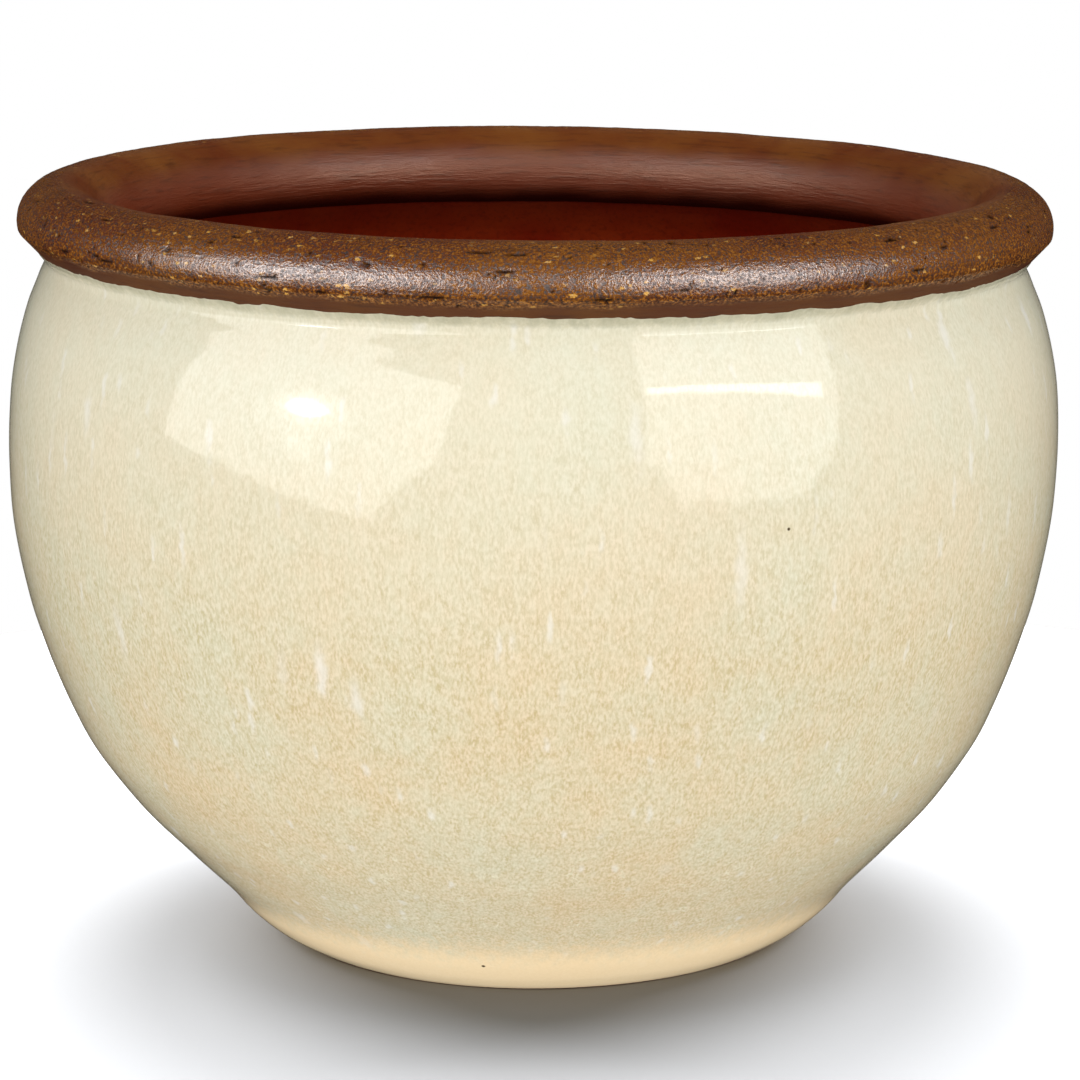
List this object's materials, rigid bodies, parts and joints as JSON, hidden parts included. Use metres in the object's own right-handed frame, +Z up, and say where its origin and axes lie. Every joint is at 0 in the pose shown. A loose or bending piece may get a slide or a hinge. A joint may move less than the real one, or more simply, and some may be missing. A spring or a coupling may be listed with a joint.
{
  "type": "bonsai pot",
  "caption": "Round, swelling glazed stoneware pot with a thick rolled rim, a rounded foot and a floor with drain and tie-wire holes, to hold soil and a small tree.",
  "frame": {"origin": "centre of the foot ring's ground face, on the surface the pot stands on", "axes": "+Z up along the pot's axis, from the foot to the mouth; the pot is round, so +X and +Y are any two level directions, set on two of the tie-wire holes"},
  "size_m": [0.3304, 0.3304, 0.239],
  "materials": {
    "bare_clay": "matte",
    "cream_glaze": "gloss",
    "iron_wash": "satin",
    "brown_liner": "satin"
  },
  "bodies": {
    "root": {"foot_ring": "bare_clay", "floor_slab": "bare_clay", "lower_wall": "bare_clay", "upper_wall": "bare_clay", "rim_roll": "bare_clay", "cream_glaze_coat": "cream_glaze", "rim_wash_coat": "iron_wash", "inside_liner_coat": "brown_liner"}
  },
  "joints": []
}
